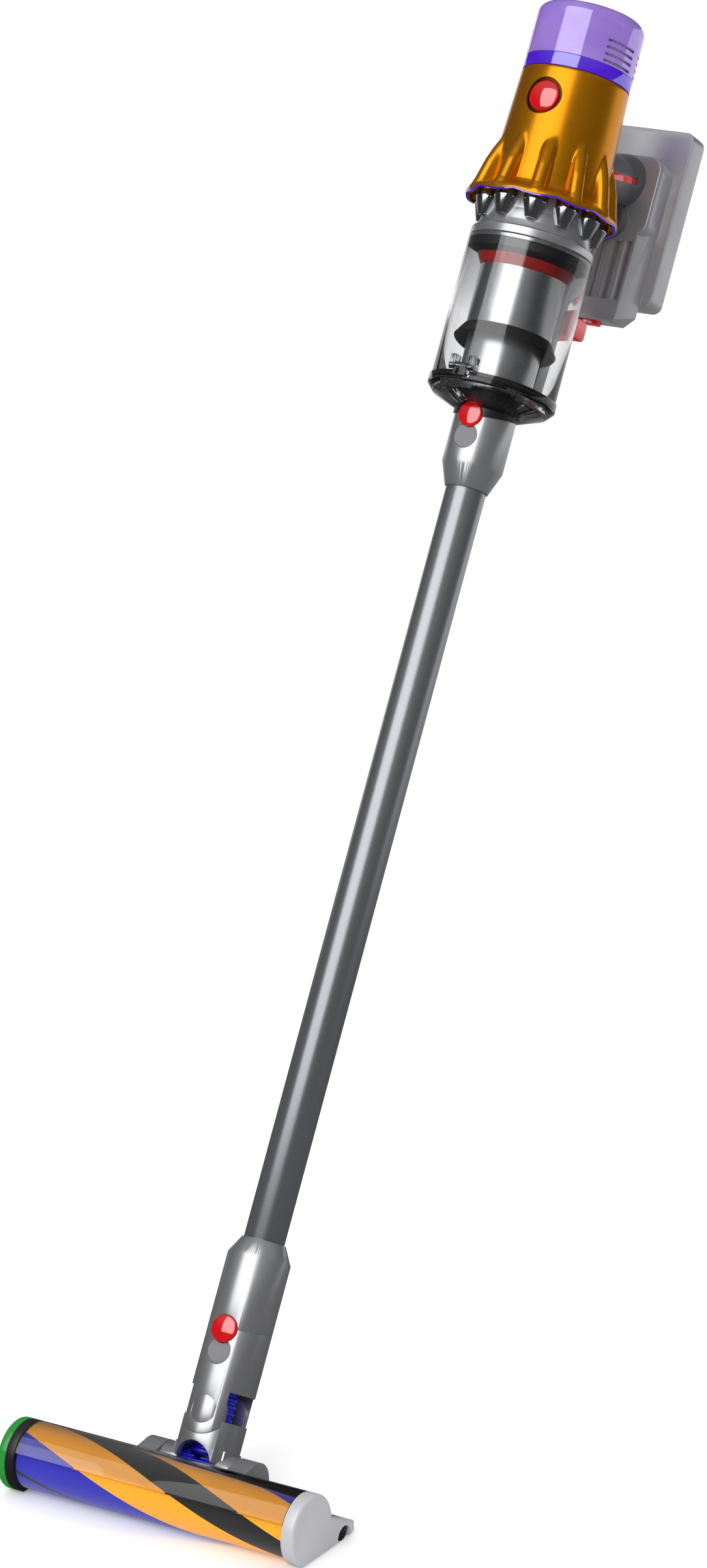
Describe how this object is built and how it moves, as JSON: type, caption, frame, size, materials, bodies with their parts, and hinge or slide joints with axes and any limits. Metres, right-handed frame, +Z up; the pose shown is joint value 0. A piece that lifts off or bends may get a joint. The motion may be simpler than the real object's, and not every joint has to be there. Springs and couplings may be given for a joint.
{
  "type": "cordless stick vacuum cleaner",
  "caption": "Cordless stick vacuum with a roller head, pitching and tilting neck, straight wand, clear bin, ring of cyclones, purple filter, grip and battery.",
  "frame": {"origin": "on the floor, at the middle of the felt strip under the head", "axes": "+Z up, -Y front, +X along the roller to the removable end cap; the wand leans back 29.2 degrees"},
  "size_m": [0.25, 0.7145, 0.9945],
  "materials": {
    "amber_metal": "satin",
    "silver_metal": "satin",
    "graphite_metal": "satin",
    "light_plastic": "satin",
    "grey_plastic": "satin",
    "black_plastic": "matt",
    "red_plastic": "gloss",
    "blue_plastic": "satin",
    "purple_clear": "gloss",
    "purple_plastic": "gloss",
    "clear_plastic": "gloss",
    "green_lens": "gloss",
    "black_rubber": "matt",
    "steel": "satin",
    "filter_paper": "pleated",
    "nap_cloth": "striped nap",
    "felt": "felt",
    "screen_glass": "gloss"
  },
  "bodies": {
    "main": {"motor_housing": "amber_metal", "skirt_gasket": "purple_plastic", "button_bezel": "amber_metal", "control_board": "grey_plastic", "motor_case": "grey_plastic", "motor_bearings": "steel", "cyclone_body": "silver_metal", "cyclone_cones": "silver_metal", "bin_seal": "black_rubber", "shroud_ring": "red_plastic", "shroud_mesh": "steel", "wiper_skirt": "black_rubber", "shroud_tube": "graphite_metal", "inlet_duct": "grey_plastic", "handle_grip": "graphite_metal", "grip_stripe": "red_plastic", "handle_base": "light_plastic", "screen_post": "grey_plastic", "screen_lens": "screen_glass"},
    "filter": {"filter_shell": "purple_clear", "filter_band": "purple_plastic", "filter_media": "filter_paper"},
    "power_button": {"power_button": "red_plastic"},
    "rotor": {"rotor_shaft": "steel", "impeller": "silver_metal"},
    "battery": {"battery_case": "light_plastic", "battery_cells": "steel"},
    "battery_release": {"battery_release": "red_plastic"},
    "bin": {"bin_shell": "clear_plastic", "bin_runner": "black_plastic", "hinge_lugs": "clear_plastic", "hinge_pin": "steel"},
    "bin_release": {"bin_release": "red_plastic"},
    "bin_base": {"bin_base": "clear_plastic", "base_seal": "black_rubber", "base_catch": "black_plastic", "inlet_socket": "graphite_metal"},
    "wand": {"wand_tube": "graphite_metal", "wand_collar_upper": "silver_metal", "wand_collar_lower": "silver_metal"},
    "wand_button": {"wand_button": "red_plastic"},
    "head_collar": {"head_collar": "silver_metal", "tilt_pins": "silver_metal"},
    "head_button": {"head_button": "red_plastic"},
    "neck": {"neck_yoke": "silver_metal", "neck_hose": "blue_plastic", "neck_bellows": "blue_plastic"},
    "head": {"head_base": "grey_plastic", "head_hood": "clear_plastic", "end_plate": "black_plastic", "light_lens": "green_lens", "pitch_pins": "steel", "sole_felt": "felt", "roller_motor": "grey_plastic"},
    "roller": {"roller_core": "light_plastic", "roller_sleeve": "nap_cloth"},
    "end_cap": {"end_cap": "light_plastic"},
    "side_wheel": {"side_wheel": "black_rubber"},
    "rear_wheels": {"rear_wheels": "black_rubber"}
  },
  "joints": [
    {"name": "filter_lift", "type": "slide", "parent": "main", "child": "filter", "axis": [0, 0.4879, 0.8729], "range_m": [0, 0.06]},
    {"name": "power_press", "type": "slide", "parent": "main", "child": "power_button", "axis": [0, 0.8729, -0.4879], "range_m": [0, 0.0015], "stiffness_N_per_m": 2000},
    {"name": "rotor_spin", "type": "hinge", "parent": "main", "child": "rotor", "pos_m": [0, 0.49992, 0.89188], "axis": [0, 0.4879, 0.8729], "continuous": true},
    {"name": "battery_slide", "type": "slide", "parent": "main", "child": "battery", "axis": [0, 0.8729, -0.4879], "range_m": [0, 0.04]},
    {"name": "battery_release_press", "type": "slide", "parent": "main", "child": "battery_release", "axis": [0, 0.4879, 0.8729], "range_m": [0, 0.0015], "stiffness_N_per_m": 2000, "springref_m": -0.0002},
    {"name": "bin_slide", "type": "slide", "parent": "main", "child": "bin", "axis": [0, -0.4879, -0.8729], "range_m": [0, 0.035]},
    {"name": "bin_release_slide", "type": "slide", "parent": "bin", "child": "bin_release", "axis": [0, -0.4879, -0.8729], "range_m": [0, 0.008], "stiffness_N_per_m": 400, "springref_m": -0.002},
    {"name": "bin_base_hinge", "type": "hinge", "parent": "bin", "child": "bin_base", "pos_m": [0, 0.36422, 0.75464], "axis": [-1, 0, 0], "range_deg": [0, 75]},
    {"name": "wand_pull", "type": "slide", "parent": "bin_base", "child": "wand", "axis": [0, -0.4879, -0.8729], "range_m": [0, 0.04]},
    {"name": "wand_button_press", "type": "slide", "parent": "wand", "child": "wand_button", "axis": [0, 0.8729, -0.4879], "range_m": [0, 0.0015], "stiffness_N_per_m": 2000},
    {"name": "head_pull", "type": "slide", "parent": "wand", "child": "head_collar", "axis": [0, -0.4879, -0.8729], "range_m": [0, 0.04]},
    {"name": "head_button_press", "type": "slide", "parent": "head_collar", "child": "head_button", "axis": [0, 0.8729, -0.4879], "range_m": [0, 0.0015], "stiffness_N_per_m": 2000},
    {"name": "neck_tilt", "type": "hinge", "parent": "head_collar", "child": "neck", "pos_m": [0, 0.03328, 0.05693], "axis": [0, 0.8729, -0.4879], "range_deg": [-28, 28]},
    {"name": "neck_pitch", "type": "hinge", "parent": "neck", "child": "head", "pos_m": [0, 0.01206, 0.01896], "axis": [1, 0, 0], "range_deg": [-29.2, 45]},
    {"name": "roller_spin", "type": "hinge", "parent": "head", "child": "roller", "pos_m": [0, -0.038, 0.024], "axis": [1, 0, 0], "continuous": true},
    {"name": "end_cap_pull", "type": "slide", "parent": "head", "child": "end_cap", "axis": [1, 0, 0], "range_m": [0, 0.03]},
    {"name": "side_wheel_spin", "type": "hinge", "parent": "end_cap", "child": "side_wheel", "pos_m": [0.12, 0.0035, 0.007], "axis": [1, 0, 0], "continuous": true},
    {"name": "rear_wheels_spin", "type": "hinge", "parent": "head", "child": "rear_wheels", "pos_m": [0, 0.01906, 0.007], "axis": [1, 0, 0], "continuous": true}
  ]
}
